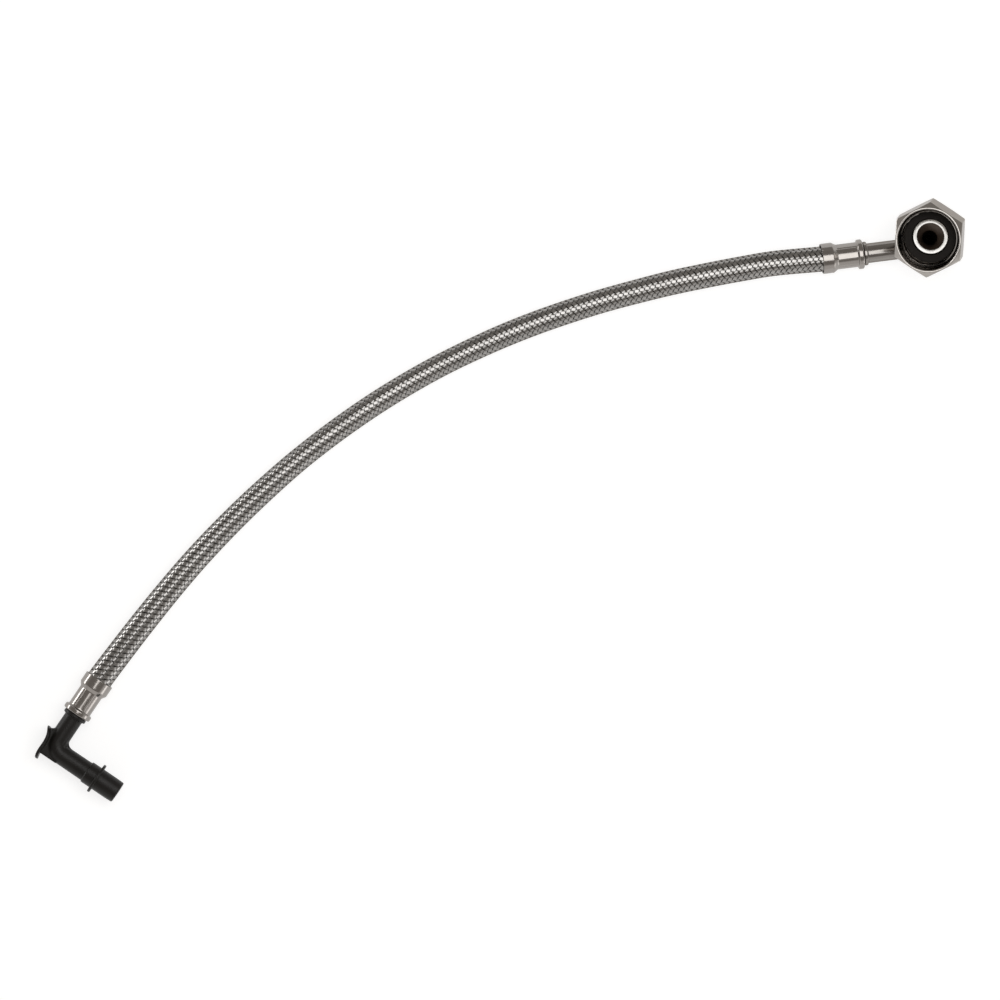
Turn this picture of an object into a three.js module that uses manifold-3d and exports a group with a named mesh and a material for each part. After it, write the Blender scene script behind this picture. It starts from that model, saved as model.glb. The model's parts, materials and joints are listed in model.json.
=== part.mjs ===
// A short flexible hose for a heating appliance: a rubber hose in a braid of stainless wire, with a
// swivel nut on a bent metal tail at one end and a plug-in elbow of black plastic at the other.
// Sizes are in millimetres, +Z is up, and the hose lies on the plane z = 0 as it would on a bench.
import * as THREE from 'three';
import { mergeVertices } from 'three/addons/utils/BufferGeometryUtils.js';
import Module from 'manifold-3d';

const wasm = await Module();
wasm.setup();

// Fits
const fit = 0.3; // gap between pieces that touch
const overlap = 0.5; // how far joined shapes of one piece run into each other
const roundSegments = 40;
const tubeSegments = 24;
const boreSegments = 16;

// Rubber hose and wire braid
const hoseDiameter = 11.2; // over the braid
const braidWall = 0.6;
const rubberWall = 1.4;
const hoseSides = 12;
const hoseSteps = 64;

// Crimped ferrule, one at each end of the hose
const ferruleLength = 19;
const ferruleWall = 0.5;
const ferruleCollarDiameter = 13.9;
const ferruleCollarLength = 5;
const ferruleShoulderLength = 1.8;
const ferruleCrimpDiameter = 11.6;
const ferruleBeadDiameter = 13.6;
const ferruleBeadLength = 2.7;

// Stems that both fittings push into the hose
const stemTipDepth = 2.5; // from the ferrule's mouth to the stem's tip
const stemTaper = 1;
const stemBore = 3.4;

// Bent metal tail
const tailBeadDiameter = 10.8;
const tailBeadLength = 1.6;
const tubeDiameter = 9;
const tubeBore = 6.4;
const tailReach = 28.7; // from the ferrule's end to the axis of the upright leg
const bendRadius = 11;
const legHeight = 17.2; // from the tube's axis to the underside of the collar
const collarPlay = 0.55; // round the collar, inside the nut's thread
const tailCollarThickness = 2.5;
const bossDiameter = 16.1;
const bossHeight = 3; // above the collar, through the seal
const mouthDiameter = 12.6;
const mouthConeDepth = 5;
const bendSteps = 24;

// Flat seal round the boss
const sealPlay = 0.35; // round the seal, inside the nut's thread
const sealThickness = 2;

// Swivel nut with a 3/4 inch pipe thread
const nutHeight = 19;
const nutBackWall = 2.8;
const nutHoleDiameter = 18.6;
const threadMinorDiameter = 24.1;
const nutWall = 2.95; // from the thread to a flat
const nutMouthChamfer = 0.4;
const nutCounterboreDepth = 4.2; // smooth stretch before the thread
const nutMouthLip = 1.1; // from the mouth's edge to a flat
const nutThreadRunIn = 1.3; // height of the cone down to the thread
const nutFaceInset = 0.4; // from a flat to the edge of the front face
const nutCornerChamferAngle = 30;

// Plug-in elbow
const elbowCollarDiameter = 11.2;
const elbowCollarLength = 1.6;
const elbowReach = 19.1; // from the ferrule's end to the crossing of the two barrels
const upperBarrelDiameter = 8.9;
const lowerBarrelDiameter = 9.4;
const elbowBore = 6;
const elbowBendRadius = 4.9;
const ribThickness = 4.6; // between the bend and the thumb plate
const ribTop = 9.6; // above the crossing, on the upper barrel
const plugDiameter = 10.5;
const plugStepLength = 5.2; // thicker stretch before the flange
const plugTipLength = 11.6; // beyond the flange
const plugTipRound = 0.9;
const plugBore = 7.4;
const plugBoreDepth = 9;
const flangeDiameter = 14.5;
const flangeThickness = 1.25;
const flangeDistance = 24.2; // from the barrels' crossing to the flange
const thumbPlateThickness = 1.4;
const thumbPlateHalfSpan = 7.7;
const thumbPlateHeight = 13.4;
const thumbPlateCorner = 4;
const thumbPlateLowTip = 4.5; // distances of its outer face behind the crossing
const thumbPlateMiddle = 5.3;
const thumbPlateKnee = 5.6; // where it starts to curl back
const thumbPlateKneeShare = 0.42; // of the half span
const thumbPlateHighTip = 8;
const webThickness = 1.6;
const webRadius = 2.8;

// Places, with the ferrules' mouths as the ends of the free hose
const plugMouth = [-182.0, -81.5];
const plugHeading = 235.9; // degrees from +X, the way out of the hose
const nutMouth = [147.0, 110.1];
const nutHeading = 7.3;
const tailPitch = 4.5; // degrees that the tail dips towards the nut
const tailRoll = 8.4; // degrees that the upright leg leans sideways
const nutLean = 12; // degrees that the loose nut leans from upright
const nutLeanHeading = 228.2;
const nutTurn = 86.7; // direction of one corner

// The free hose between the mouths: it rises from the bench a little before the heavy end
const hosePoints = [
  [-170.0, -65.6, 7.1], [-160.1, -52.9, 6.8], [-150.0, -40.4, 6.4], [-139.6, -28.2, 6.1],
  [-128.7, -16.4, 5.8],
  [-117.4, -5.0, 5.66], [-105.7, 6.0, 5.62], [-93.7, 16.6, 5.62], [-81.1, 26.7, 5.62], [-68.2, 36.2, 5.62],
  [-54.9, 45.2, 5.62], [-41.2, 53.6, 5.62], [-27.2, 61.4, 5.62], [-12.8, 68.5, 5.62], [1.9, 75.1, 5.65],
  [16.8, 81.0, 5.8], [32.0, 86.3, 6.15], [47.3, 91.1, 6.7], [62.8, 95.3, 7.4], [78.4, 99.2, 8.2],
  [94.1, 102.5, 8.9], [109.9, 105.5, 9.3], [125.7, 108.1, 9.25],
];

const radians = THREE.MathUtils.degToRad;

// Solids

/** Makes a manifold solid of a closed geometry. */
function solidOf(geometry) {
  const bare = geometry.clone();
  bare.deleteAttribute('normal');
  bare.deleteAttribute('uv');
  const merged = mergeVertices(bare, 1e-4);
  return new wasm.Manifold(new wasm.Mesh({
    numProp: 3,
    vertProperties: new Float32Array(merged.attributes.position.array),
    triVerts: new Uint32Array(merged.index.array),
  }));
}

/** Makes a geometry of a manifold solid. */
function geometryOf(solid) {
  const mesh = solid.getMesh();
  const geometry = new THREE.BufferGeometry();
  geometry.setAttribute('position', new THREE.BufferAttribute(new Float32Array(mesh.vertProperties), 3));
  geometry.setIndex(new THREE.BufferAttribute(new Uint32Array(mesh.triVerts), 1));
  geometry.computeVertexNormals();
  return geometry;
}

/** Joins geometries into one solid. */
function joined(...geometries) {
  return geometries.map(solidOf).reduce((whole, piece) => whole.add(piece));
}

/** Turns a profile of [radius, height] pairs about +Y; its outer side runs upwards. */
function turned(profile, segments = roundSegments) {
  const points = profile.map(([radius, height]) => new THREE.Vector2(radius, height));
  return new THREE.LatheGeometry(points, segments);
}

/** A closed cylinder about +Y between two heights. */
function rod(radius, from, to) {
  return turned([[0, from], [radius, from], [radius, to], [0, to]]);
}

/** Points of an arc in a turned profile, with angles in degrees. */
function arc(centre, radius, from, to, steps = 6) {
  return Array.from({ length: steps + 1 }, (_, index) => {
    const angle = radians(from + (to - from) * index / steps);
    return [centre[0] + radius * Math.cos(angle), centre[1] + radius * Math.sin(angle)];
  });
}

/** Sweeps a shape along a path. */
function swept(shape, path, steps) {
  return new THREE.ExtrudeGeometry(shape, { steps, extrudePath: path, bevelEnabled: false });
}

/** A path from one point round a right-angled corner to another. */
function bentPath(start, corner, end, radius) {
  const back = start.clone().sub(corner).normalize();
  const ahead = end.clone().sub(corner).normalize();
  const bendStart = corner.clone().addScaledVector(back, radius);
  const bendEnd = corner.clone().addScaledVector(ahead, radius);
  const centre = bendStart.clone().addScaledVector(ahead, radius);
  const bend = new THREE.Curve();
  bend.getPoint = (share, target = new THREE.Vector3()) => target.copy(centre)
    .addScaledVector(ahead, -radius * Math.cos(share * Math.PI / 2))
    .addScaledVector(back, -radius * Math.sin(share * Math.PI / 2));
  const path = new THREE.CurvePath();
  path.add(new THREE.LineCurve3(start, bendStart));
  path.add(bend);
  path.add(new THREE.LineCurve3(bendEnd, end));
  return path;
}

/** A regular polygon path with its corners on the given radius. */
function polygon(radius, sides, path) {
  for (let side = 0; side < sides; side += 1) {
    const angle = 2 * Math.PI * side / sides;
    const corner = [radius * Math.cos(angle), radius * Math.sin(angle)];
    if (side === 0) path.moveTo(...corner);
    else path.lineTo(...corner);
  }
  path.closePath();
  return path;
}

/** A disc of many sides, as the section of a round tube. */
function disc(radius, sides) {
  return polygon(radius, sides, new THREE.Shape());
}

/** A ring: its outside lies within the outer radius and its bore outside the inner one. */
function ring(outer, inner, sides) {
  const shape = disc(outer, sides);
  shape.holes.push(polygon(inner / Math.cos(Math.PI / sides), sides, new THREE.Path()));
  return shape;
}

function named(name, geometry, finish) {
  const mesh = new THREE.Mesh(geometry, new THREE.MeshStandardMaterial(finish));
  mesh.name = name;
  return mesh;
}

// Finishes
const polishedSteel = { color: 0xb9b6b2, roughness: 0.22, metalness: 1 };
const wireSteel = { color: 0x9a9793, roughness: 0.35, metalness: 1 };
const platedBrass = { color: 0xc9c8c6, roughness: 0.12, metalness: 1 };
const blackRubber = { color: 0x1b1a19, roughness: 0.8, metalness: 0 };
const blackPlastic = { color: 0x202123, roughness: 0.5, metalness: 0 };

// Sizes that follow from the ones above
const hoseRadius = hoseDiameter / 2;
const crimpInnerRadius = ferruleCrimpDiameter / 2 - ferruleWall;
const crimpSqueeze = (crimpInnerRadius - fit) / hoseRadius;
const braidInnerRadius = hoseRadius - braidWall;
const rubberRadius = braidInnerRadius - fit;
const rubberBoreRadius = rubberRadius - rubberWall;
const stemRadius = rubberBoreRadius * crimpSqueeze - fit;
const hoseEndDepth = ferruleLength - ferruleBeadLength - overlap; // inside the ferrule
const fittingStart = ferruleLength + fit;
const legDistance = ferruleLength + tailReach;
const crossingDistance = ferruleLength + elbowReach;
const beadMiddle = ferruleLength - ferruleBeadLength / 2;
const sealBottom = legHeight + tailCollarThickness + fit;
const tailCollarRadius = threadMinorDiameter / 2 - collarPlay;
const sealRadius = threadMinorDiameter / 2 - sealPlay;
const nutFlatRadius = threadMinorDiameter / 2 + nutWall;
const bossTop = legHeight + tailCollarThickness + bossHeight;

// The nut end rests on its ferrule's bead
const dip = radians(tailPitch);
const nutMouthHeight = ferruleBeadDiameter / 2 / Math.cos(dip) + beadMiddle * Math.sin(dip);
const plugHeight = Math.max(flangeDiameter, ferruleCollarDiameter) / 2;

/** A frame at a ferrule's mouth: +Y runs out of the hose and +Z points up. */
function mouthFrame(mouth, height, heading, pitch, roll) {
  const frame = new THREE.Group();
  frame.position.set(mouth[0], mouth[1], height);
  frame.rotation.set(-pitch, -roll, radians(heading - 90), 'ZXY');
  frame.updateMatrixWorld();
  return frame;
}

const plugEnd = mouthFrame(plugMouth, plugHeight, plugHeading, 0, 0);
const nutEnd = mouthFrame(nutMouth, nutMouthHeight, nutHeading, dip, radians(tailRoll));

// Hose

/** Where the hose runs, with its ends inside the ferrules. */
function hoseRoute() {
  const inside = (frame, share) => frame.localToWorld(new THREE.Vector3(0, share * hoseEndDepth, 0));
  const inPlugFerrule = [1, 0.5, 0].map((share) => inside(plugEnd, share));
  const inNutFerrule = [0, 0.5, 1].map((share) => inside(nutEnd, share));
  const free = hosePoints.map((point) => new THREE.Vector3(...point));
  return new THREE.CatmullRomCurve3([...inPlugFerrule, ...free, ...inNutFerrule]);
}

/** A tube along the route that the crimps draw in behind the ferrules' collars. */
function hoseTube(outerRadius, innerRadius) {
  const route = hoseRoute();
  const geometry = swept(ring(outerRadius, innerRadius, hoseSides), route, hoseSteps);
  const stations = route.getSpacedPoints(hoseSteps);
  const spacing = route.getLength() / hoseSteps;
  const position = geometry.attributes.position;
  const point = new THREE.Vector3();
  for (let index = 0; index < position.count; index += 1) {
    point.fromBufferAttribute(position, index);
    const distances = stations.map((station) => station.distanceToSquared(point));
    const nearest = distances.indexOf(Math.min(...distances));
    const depth = hoseEndDepth - Math.min(nearest, hoseSteps - nearest) * spacing;
    if (depth > ferruleCollarLength - spacing) {
      point.lerp(stations[nearest], 1 - crimpSqueeze);
      position.setXYZ(index, point.x, point.y, point.z);
    }
  }
  return geometry;
}

/** The crimped sleeve: a wide collar, a shoulder, the crimped stretch and a rolled bead at its end. */
function ferrule() {
  const collar = ferruleCollarDiameter / 2;
  const crimp = ferruleCrimpDiameter / 2;
  const bead = ferruleBeadDiameter / 2;
  const crimpStart = ferruleCollarLength + ferruleShoulderLength;
  const beadStart = ferruleLength - ferruleBeadLength;
  const shoulder = [0, 0.25, 0.5, 0.75, 1].map((share) => [
    collar - (collar - crimp) * (1 - Math.cos(Math.PI * share)) / 2,
    ferruleCollarLength + ferruleShoulderLength * share,
  ]);
  const rim = arc([0, 0], 1, -90, 90, 8).map(([outwards, along]) => [
    crimp + (bead - crimp) * outwards,
    beadStart + ferruleBeadLength * (1 + along) / 2,
  ]);
  return turned([
    [collar - ferruleWall, 0], [collar, 0],
    ...shoulder,
    ...rim,
    [crimpInnerRadius, ferruleLength], [crimpInnerRadius, crimpStart],
    [collar - ferruleWall, ferruleCollarLength],
    [collar - ferruleWall, 0],
  ]);
}

/** The stem inside the hose and its root inside the ferrule's end. */
function stem(rootEnd) {
  const rootStart = hoseEndDepth + fit;
  const rootRadius = crimpInnerRadius - fit;
  return turned([
    [0, stemTipDepth], [stemRadius - fit, stemTipDepth], [stemRadius, stemTipDepth + stemTaper],
    [stemRadius, rootStart], [rootRadius, rootStart], [rootRadius, rootEnd], [0, rootEnd],
  ]);
}

// Nut end

/** The axis of the bent tube in the nut end's frame, from a distance out to a height up the leg. */
function tailPath(start, height) {
  const point = (y, z) => new THREE.Vector3(0, y, z);
  return bentPath(point(start, 0), point(legDistance, 0), point(legDistance, height), bendRadius);
}

/** Stands a piece that was turned about +Y on the upright leg, with its heights along +Z. */
function ontoLeg(geometry) {
  return geometry.rotateX(Math.PI / 2).translate(0, legDistance, 0);
}

function elbowTail() {
  const beadEnd = fittingStart + tailBeadLength;
  const beadRim = arc([0, 0], 1, -90, 90, 6).map(([outwards, along]) => [
    tubeDiameter / 2 + (tailBeadDiameter - tubeDiameter) / 2 * Math.sqrt(outwards),
    fittingStart + tailBeadLength * (1 + along) / 2,
  ]);
  const bead = turned([[0, fittingStart], ...beadRim, [0, beadEnd]]);
  const tubeAxis = tailPath(beadEnd - overlap, legHeight + overlap);
  const tube = swept(disc(tubeDiameter / 2, tubeSegments), tubeAxis, bendSteps);
  const boss = ontoLeg(turned([
    [0, legHeight], [tailCollarRadius, legHeight],
    [tailCollarRadius, legHeight + tailCollarThickness],
    [bossDiameter / 2, legHeight + tailCollarThickness],
    [bossDiameter / 2, bossTop], [0, bossTop],
  ]));
  const bore = swept(disc(tubeBore / 2, boreSegments), tailPath(beadEnd, bossTop + overlap), bendSteps);
  const cone = ontoLeg(turned([
    [0, bossTop - mouthConeDepth], [tubeBore / 2, bossTop - mouthConeDepth],
    [mouthDiameter / 2, bossTop], [mouthDiameter / 2, bossTop + overlap], [0, bossTop + overlap],
  ]));
  const narrowBore = rod(stemBore / 2, stemTipDepth - overlap, beadEnd + overlap);
  const outside = joined(stem(fittingStart + overlap), bead, tube, boss);
  return geometryOf(outside.subtract(joined(bore, cone, narrowBore)));
}

function flatSeal() {
  const top = sealBottom + sealThickness;
  const bore = bossDiameter / 2 + fit;
  return ontoLeg(turned([
    [bore, sealBottom], [sealRadius, sealBottom], [sealRadius, top], [bore, top],
    [bore, sealBottom],
  ]));
}

/** The swivel nut about +Z, with its back at z = 0. */
function unionNut() {
  const cornerRadius = nutFlatRadius / Math.cos(Math.PI / 6);
  const faceRadius = nutFlatRadius - nutFaceInset;
  const mouthRadius = nutFlatRadius - nutMouthLip;
  const threadRadius = threadMinorDiameter / 2;
  const counterboreRadius = mouthRadius - nutMouthChamfer;
  const counterboreEnd = nutHeight - nutCounterboreDepth;
  const chamfer = (cornerRadius - faceRadius) * Math.tan(radians(nutCornerChamferAngle));
  const hexagon = new THREE.ExtrudeGeometry(disc(cornerRadius, 6), { depth: nutHeight, bevelEnabled: false });
  const rounding = turned([
    [0, 0], [faceRadius, 0], [cornerRadius, chamfer],
    [cornerRadius, nutHeight - chamfer], [faceRadius, nutHeight], [0, nutHeight],
  ]).rotateX(Math.PI / 2);
  const bore = turned([
    [0, -overlap], [nutHoleDiameter / 2, -overlap], [nutHoleDiameter / 2, nutBackWall],
    [threadRadius, nutBackWall], [threadRadius, counterboreEnd - nutThreadRunIn],
    [counterboreRadius, counterboreEnd], [counterboreRadius, nutHeight - nutMouthChamfer],
    [mouthRadius, nutHeight], [mouthRadius, nutHeight + overlap], [0, nutHeight + overlap],
  ]).rotateX(Math.PI / 2);
  return geometryOf(solidOf(hexagon).intersect(solidOf(rounding)).subtract(solidOf(bore)));
}

/** Hangs the nut on the tail's collar: it leans until the collar's low edge clears its back wall. */
function placeNut(nut) {
  const seatMiddle = (legHeight + sealBottom + sealThickness) / 2;
  const seat = nutEnd.localToWorld(new THREE.Vector3(0, legDistance, seatMiddle));
  const legTop = nutEnd.localToWorld(new THREE.Vector3(0, legDistance, seatMiddle + 1));
  const axis = new THREE.Vector3(Math.sin(radians(nutLean)), 0, Math.cos(radians(nutLean)));
  axis.applyAxisAngle(new THREE.Vector3(0, 0, 1), radians(nutLeanHeading));
  const tilt = axis.angleTo(legTop.sub(seat));
  const collarDrop = (seatMiddle - legHeight) * Math.cos(tilt) + tailCollarRadius * Math.sin(tilt);
  nut.quaternion.setFromUnitVectors(new THREE.Vector3(0, 0, 1), axis);
  nut.rotateZ(radians(nutTurn));
  nut.position.copy(seat).addScaledVector(axis, -(collarDrop + fit + nutBackWall));
}

// Plug end

/** Lays a piece that was turned about +Y along the lower barrel, with its heights away from the crossing. */
function ontoLowerBarrel(geometry) {
  return geometry.rotateZ(Math.PI / 2).translate(0, crossingDistance, 0);
}

/** The outer face of the thumb plate, seen edge-on, from its low tip to its curled high tip. */
function plateLine() {
  return [
    [thumbPlateLowTip, thumbPlateHalfSpan], [thumbPlateMiddle, 0],
    [thumbPlateKnee, -thumbPlateKneeShare * thumbPlateHalfSpan], [thumbPlateHighTip, -thumbPlateHalfSpan],
  ].map(([x, y]) => new THREE.Vector2(x, y));
}

/** The plate behind the elbow that a thumb presses on. */
function thumbPlate() {
  const outer = plateLine();
  const inner = outer.map((point) => new THREE.Vector2(point.x - thumbPlateThickness, point.y)).reverse();
  const profile = new THREE.Shape();
  profile.moveTo(outer[0].x, outer[0].y).splineThru(outer.slice(1));
  profile.lineTo(inner[0].x, inner[0].y).splineThru(inner.slice(1));
  profile.closePath();
  const slab = new THREE.ExtrudeGeometry(profile, {
    depth: thumbPlateHeight, curveSegments: 5, bevelEnabled: false,
  });
  const span = thumbPlateHalfSpan - thumbPlateCorner;
  const rise = thumbPlateHeight / 2 - thumbPlateCorner;
  const outline = new THREE.Shape();
  outline.absarc(rise, span, thumbPlateCorner, 0, Math.PI / 2);
  outline.absarc(-rise, span, thumbPlateCorner, Math.PI / 2, Math.PI);
  outline.absarc(-rise, -span, thumbPlateCorner, Math.PI, 1.5 * Math.PI);
  outline.absarc(rise, -span, thumbPlateCorner, 1.5 * Math.PI, 2 * Math.PI);
  const face = new THREE.ExtrudeGeometry(outline, {
    depth: 2 * thumbPlateHighTip, curveSegments: 6, bevelEnabled: false,
  });
  slab.translate(0, 0, -thumbPlateHeight / 2);
  face.rotateY(Math.PI / 2);
  return geometryOf(solidOf(slab).intersect(solidOf(face))).translate(0, crossingDistance, 0);
}

/** The rib that carries the thumb plate behind the bend. */
function plateRib() {
  const low = lowerBarrelDiameter / 2 - fit;
  const [lowTip, middle, knee, highTip] = plateLine();
  const inset = thumbPlateThickness / 2;
  const shape = new THREE.Shape();
  shape.moveTo(-elbowBendRadius, low);
  shape.lineTo(-elbowBendRadius, -elbowBendRadius);
  shape.lineTo(0, -ribTop);
  shape.lineTo(upperBarrelDiameter / 2, -ribTop + 2 * overlap);
  shape.lineTo(highTip.x - 2 * inset, highTip.y + overlap);
  shape.lineTo(knee.x - inset, knee.y);
  shape.lineTo(middle.x - inset, middle.y);
  shape.lineTo((middle.x + lowTip.x) / 2 - inset, low);
  shape.closePath();
  const rib = new THREE.ExtrudeGeometry(shape, { depth: ribThickness, bevelEnabled: false });
  return rib.translate(0, crossingDistance, -ribThickness / 2);
}

/** The thin web in the elbow's inner corner, with a hollow edge. */
function innerWeb() {
  const left = upperBarrelDiameter / 2;
  const low = lowerBarrelDiameter / 2;
  const shape = new THREE.Shape();
  shape.moveTo(-left + overlap, -low + overlap);
  shape.lineTo(-left + overlap, -low - webRadius);
  shape.lineTo(-left, -low - webRadius);
  shape.absarc(-left - webRadius, -low - webRadius, webRadius, 0, Math.PI / 2);
  shape.lineTo(-left - webRadius, -low + overlap);
  shape.closePath();
  const web = new THREE.ExtrudeGeometry(shape, {
    depth: webThickness, curveSegments: 6, bevelEnabled: false,
  });
  return web.translate(0, crossingDistance, -webThickness / 2);
}

function plugElbow() {
  const collarEnd = fittingStart + elbowCollarLength;
  const upper = upperBarrelDiameter / 2;
  const lower = lowerBarrelDiameter / 2;
  const plug = plugDiameter / 2;
  const plugEndDistance = flangeDistance + plugTipLength;
  const plugBoreStart = plugEndDistance - plugBoreDepth;
  const flangeStart = flangeDistance - flangeThickness / 2;
  const flangeEnd = flangeDistance + flangeThickness / 2;
  const barrelEnd = flangeDistance - plugStepLength;
  const collar = rod(elbowCollarDiameter / 2, fittingStart, collarEnd);
  const point = (x, y) => new THREE.Vector3(x, y, 0);
  const bent = (radius, sides, start, end) => swept(disc(radius, sides), bentPath(
    point(0, start), point(0, crossingDistance), point(-end, crossingDistance), elbowBendRadius,
  ), bendSteps);
  const bentBarrel = bent(upper, tubeSegments, collarEnd - overlap, barrelEnd - overlap);
  const lowerBarrel = ontoLowerBarrel(turned([
    [0, elbowBendRadius], [lower, elbowBendRadius + overlap],
    [lower, barrelEnd - overlap], [plug, barrelEnd],
    [plug, flangeStart], [flangeDiameter / 2, flangeStart],
    [flangeDiameter / 2, flangeEnd], [plug, flangeEnd],
    ...arc([plug - plugTipRound, plugEndDistance - plugTipRound], plugTipRound, 0, 90, 4),
    [0, plugEndDistance],
  ]));
  const outside = joined(
    stem(fittingStart + overlap), collar, bentBarrel, lowerBarrel, thumbPlate(), plateRib(), innerWeb(),
  );
  const bores = joined(
    rod(stemBore / 2, stemTipDepth - overlap, collarEnd + overlap),
    bent(elbowBore / 2, boreSegments, collarEnd, plugBoreStart + overlap),
    ontoLowerBarrel(rod(plugBore / 2, plugBoreStart, plugEndDistance + overlap)),
  );
  return geometryOf(outside.subtract(bores));
}

// Assembly
nutEnd.add(
  named('elbow_tail', elbowTail(), polishedSteel),
  named('flat_seal', flatSeal(), blackRubber),
  named('nut_end_ferrule', ferrule(), polishedSteel),
);
plugEnd.add(
  named('plug_elbow', plugElbow(), blackPlastic),
  named('plug_end_ferrule', ferrule(), polishedSteel),
);
const unionNutMesh = named('union_nut', unionNut(), platedBrass);
placeNut(unionNutMesh);

const flexibleHose = new THREE.Group();
flexibleHose.add(
  nutEnd,
  plugEnd,
  unionNutMesh,
  named('inner_hose', hoseTube(rubberRadius, rubberBoreRadius), blackRubber),
  named('wire_braid', hoseTube(hoseRadius, braidInnerRadius), wireSteel),
);

export default flexibleHose;
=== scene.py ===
"""A short braided hose for a heating appliance, dressed for a studio picture.

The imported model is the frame. Sizes are in millimetres in each fitting's own frame, where +Y runs
out of the hose and +Z points up, and each mesh is written in metres where its piece lies.
"""

import json
import logging
import math
from collections.abc import Callable, Sequence
from dataclasses import dataclass
from enum import Enum

import bmesh
import bpy
import numpy as np
from mathutils import Matrix, Vector


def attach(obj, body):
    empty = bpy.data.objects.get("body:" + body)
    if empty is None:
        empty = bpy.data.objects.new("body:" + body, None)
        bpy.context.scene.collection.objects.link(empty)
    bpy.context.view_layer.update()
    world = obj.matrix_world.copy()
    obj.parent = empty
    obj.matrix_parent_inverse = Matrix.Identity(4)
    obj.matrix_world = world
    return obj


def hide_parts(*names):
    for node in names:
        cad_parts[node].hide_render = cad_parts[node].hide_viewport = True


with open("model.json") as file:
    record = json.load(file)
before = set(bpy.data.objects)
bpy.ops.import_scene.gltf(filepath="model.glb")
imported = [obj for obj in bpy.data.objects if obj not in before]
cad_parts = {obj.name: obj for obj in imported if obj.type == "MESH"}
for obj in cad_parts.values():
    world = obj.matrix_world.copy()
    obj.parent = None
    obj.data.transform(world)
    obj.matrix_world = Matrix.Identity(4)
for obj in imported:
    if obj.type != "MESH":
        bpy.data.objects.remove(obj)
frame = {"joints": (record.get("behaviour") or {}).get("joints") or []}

log = logging.getLogger("braided_hose")

MM = 0.001
NOISE_SPAN = (0.3, 0.7)  # what a noise texture nearly always lies in
Pair = tuple[float, float]
Triple = tuple[float, float, float]
Value = float | int | bool | Sequence[float] | bpy.types.NodeSocket | bpy.types.Node


class Body(Enum):
    """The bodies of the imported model."""

    HOSE = "hose"
    NUT = "nut"


class Hand(Enum):
    """The way a carrier winds round the hose."""

    RIGHT = 1
    LEFT = -1


# Node trees


class Graph:
    """Adds nodes to a tree and feeds their inputs with values or with other sockets."""

    def __init__(self, tree: bpy.types.NodeTree) -> None:
        """Starts on a tree.

        Args:
            tree: The node tree that gets the nodes.
        """
        self.tree = tree

    def add(
        self, kind: str, inputs: dict[str | int, Value] | None = None, **settings: object,
    ) -> bpy.types.Node:
        """Adds one node.

        Args:
            kind: The node's type.
            inputs: Values or sockets by the input's name or number.
            **settings: The node's own properties.

        Returns:
            The new node.
        """
        node = self.tree.nodes.new(kind)
        for name, value in settings.items():
            setattr(node, name, value)
        for name, value in (inputs or {}).items():
            self.feed(node.inputs[name], value)
        return node

    def feed(self, socket: bpy.types.NodeSocket, value: Value) -> None:
        """Links a socket or a node's first output to an input, or sets the input's value.

        Args:
            socket: The input.
            value: What it gets.
        """
        if isinstance(value, bpy.types.Node):
            value = value.outputs[0]
        if isinstance(value, bpy.types.NodeSocket):
            self.tree.links.new(value, socket)
        else:
            socket.default_value = value

    def math(self, operation: str, *values: Value) -> bpy.types.NodeSocket:
        """Adds a Math node.

        Args:
            operation: Its operation.
            *values: Its inputs in order.

        Returns:
            Its result.
        """
        return self.add("ShaderNodeMath", dict(enumerate(values)), operation=operation).outputs[0]

    def vector(self, operation: str, *values: Value) -> bpy.types.NodeSocket:
        """Adds a Vector Math node, where SCALE takes its factor second.

        Args:
            operation: Its operation.
            *values: Its inputs in order.

        Returns:
            Its vector result.
        """
        inputs = dict(enumerate(values))
        if operation == "SCALE":
            inputs = {0: values[0], "Scale": values[1]}
        return self.add("ShaderNodeVectorMath", inputs, operation=operation).outputs[0]

    def ranged(self, value: Value, given: Pair, made: Pair) -> bpy.types.NodeSocket:
        """Adds a Map Range node.

        Args:
            value: What it reads.
            given: The lowest and highest value that it reads.
            made: What it makes of those two.

        Returns:
            Its result.
        """
        spans = {"From Min": given[0], "From Max": given[1], "To Min": made[0], "To Max": made[1]}
        return self.add("ShaderNodeMapRange", {"Value": value, **spans}).outputs[0]

    def stored(
        self, geometry: Value, name: str, value: Value, kind: str = "FLOAT",
    ) -> bpy.types.Node:
        """Adds a node that stores a value on every point.

        Args:
            geometry: The points.
            name: The attribute's name.
            value: The value.
            kind: The attribute's type.

        Returns:
            The node.
        """
        inputs = {"Geometry": geometry, "Name": name, "Value": value}
        return self.add("GeometryNodeStoreNamedAttribute", inputs, data_type=kind, domain="POINT")

    def ramp(self, value: Value, stops: Sequence[Pair]) -> bpy.types.NodeSocket:
        """Adds a grey Color Ramp.

        Args:
            value: What it reads.
            stops: Its (position, grey) stops.

        Returns:
            Its colour.
        """
        node = self.add("ShaderNodeValToRGB", {0: value})
        elements = node.color_ramp.elements
        while len(elements) < len(stops):
            elements.new(1.0)
        for element, (position, grey) in zip(elements, stops):
            element.position = position
            element.color = (grey, grey, grey, 1.0)
        return node.outputs[0]


# Finishes


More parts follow.
